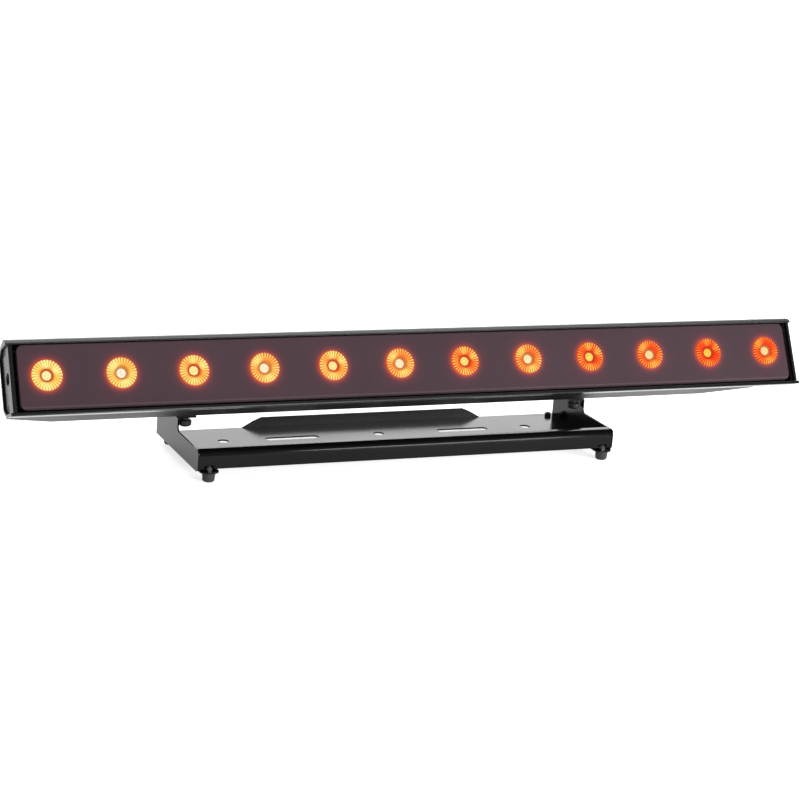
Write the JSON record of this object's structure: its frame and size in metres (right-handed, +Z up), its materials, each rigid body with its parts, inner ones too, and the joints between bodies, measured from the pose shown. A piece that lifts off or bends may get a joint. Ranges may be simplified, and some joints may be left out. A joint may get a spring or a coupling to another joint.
{
  "type": "stage lighting batten",
  "caption": "Long bar of lit round lenses behind a smoked window, with a rear driver housing, that tilts on two friction hinges above a low folded floor bracket with rubber feet.",
  "frame": {"origin": "on the floor, under the middle of the object", "axes": "+X along the bar to its data end, +Z up, the lenses face -Y and lean back"},
  "size_m": [1.002, 0.2116, 0.1765],
  "materials": {
    "black_powder_coat": "fine satin powder coat",
    "foot_rubber": "matt",
    "zinc_steel": "zinc plated",
    "black_steel": "blackened",
    "bright_steel": "bright wire",
    "black_aluminium": "matt black anodised",
    "bare_aluminium": "mill",
    "smoked_window": "smoked satin acrylic",
    "display_glass": "gloss",
    "black_plastic": "moulded",
    "gasket_rubber": "matt foam",
    "circuit_board": "white solder mask",
    "led_amber": "lit",
    "button_plastic": "moulded",
    "wire_sleeve": "PVC sleeve",
    "lens_01": "lit clear optic",
    "lens_02": "lit clear optic",
    "lens_03": "lit clear optic",
    "lens_04": "lit clear optic",
    "lens_05": "lit clear optic",
    "lens_06": "lit clear optic",
    "lens_07": "lit clear optic",
    "lens_08": "lit clear optic",
    "lens_09": "lit clear optic",
    "lens_10": "lit clear optic",
    "lens_11": "lit clear optic",
    "lens_12": "lit clear optic"
  },
  "bodies": {
    "base": {"floor_plate": "black_powder_coat", "front_rail": "black_powder_coat", "side_bracket_right": "black_powder_coat", "side_bracket_left": "black_powder_coat", "rubber_feet": "foot_rubber", "foot_screws": "zinc_steel", "foot_nuts": "zinc_steel", "hinge_base_right": "black_powder_coat", "hinge_base_left": "black_powder_coat", "hinge_pins": "zinc_steel", "friction_washers": "zinc_steel", "hinge_bolts": "black_steel"},
    "thumb_screw_right": {"thumb_screw_right": "black_steel"},
    "thumb_screw_left": {"thumb_screw_left": "black_steel"},
    "bar": {"front_extrusion": "black_aluminium", "front_panel": "smoked_window", "panel_gasket": "gasket_rubber", "lens_01": "lens_01", "lens_02": "lens_02", "lens_03": "lens_03", "lens_04": "lens_04", "lens_05": "lens_05", "lens_06": "lens_06", "lens_07": "lens_07", "lens_08": "lens_08", "lens_09": "lens_09", "lens_10": "lens_10", "lens_11": "lens_11", "lens_12": "lens_12", "lens_carrier": "black_plastic", "led_board": "circuit_board", "led_emitters": "led_amber", "heat_spreader": "bare_aluminium", "end_cap_right": "black_aluminium", "end_cap_left": "black_aluminium", "end_cap_screws": "black_steel", "rear_housing": "black_aluminium", "housing_screws": "zinc_steel", "power_inlet": "black_plastic", "power_outlet": "black_plastic", "data_inlet": "black_plastic", "data_outlet": "black_plastic", "connector_screws": "black_steel", "fuse_holder": "black_plastic", "control_panel": "black_aluminium", "display_window": "display_glass", "display_board": "circuit_board", "power_supply": "bare_aluminium", "control_board": "circuit_board", "wiring_loom": "wire_sleeve", "heatsink_left": "black_aluminium", "heatsink_right": "black_aluminium", "safety_eye": "bright_steel", "hinge_arm_right": "black_powder_coat", "hinge_arm_left": "black_powder_coat", "arm_screws": "black_steel"},
    "menu_button_1": {"menu_button_1": "button_plastic"},
    "menu_button_2": {"menu_button_2": "button_plastic"},
    "menu_button_3": {"menu_button_3": "button_plastic"},
    "menu_button_4": {"menu_button_4": "button_plastic"}
  },
  "joints": [
    {"name": "bar_tilt", "type": "hinge", "parent": "base", "child": "bar", "pos_m": [0, 0.03983, 0.0703], "axis": [-1, 0, 0], "range_deg": [-28, 62]},
    {"name": "thumb_screw_right_turn", "type": "hinge", "parent": "base", "child": "thumb_screw_right", "pos_m": [0.2595, 0.03483, 0.05], "axis": [0, 0, 1], "continuous": true},
    {"name": "thumb_screw_left_turn", "type": "hinge", "parent": "base", "child": "thumb_screw_left", "pos_m": [-0.2595, 0.03483, 0.05], "axis": [0, 0, 1], "continuous": true},
    {"name": "menu_button_1_press", "type": "slide", "parent": "bar", "child": "menu_button_1", "axis": [0, -0.8829, 0.4695], "range_m": [0, 0.001], "stiffness_N_per_m": 400, "springref_m": -0.002},
    {"name": "menu_button_2_press", "type": "slide", "parent": "bar", "child": "menu_button_2", "axis": [0, -0.8829, 0.4695], "range_m": [0, 0.001], "stiffness_N_per_m": 400, "springref_m": -0.002},
    {"name": "menu_button_3_press", "type": "slide", "parent": "bar", "child": "menu_button_3", "axis": [0, -0.8829, 0.4695], "range_m": [0, 0.001], "stiffness_N_per_m": 400, "springref_m": -0.002},
    {"name": "menu_button_4_press", "type": "slide", "parent": "bar", "child": "menu_button_4", "axis": [0, -0.8829, 0.4695], "range_m": [0, 0.001], "stiffness_N_per_m": 400, "springref_m": -0.002}
  ]
}
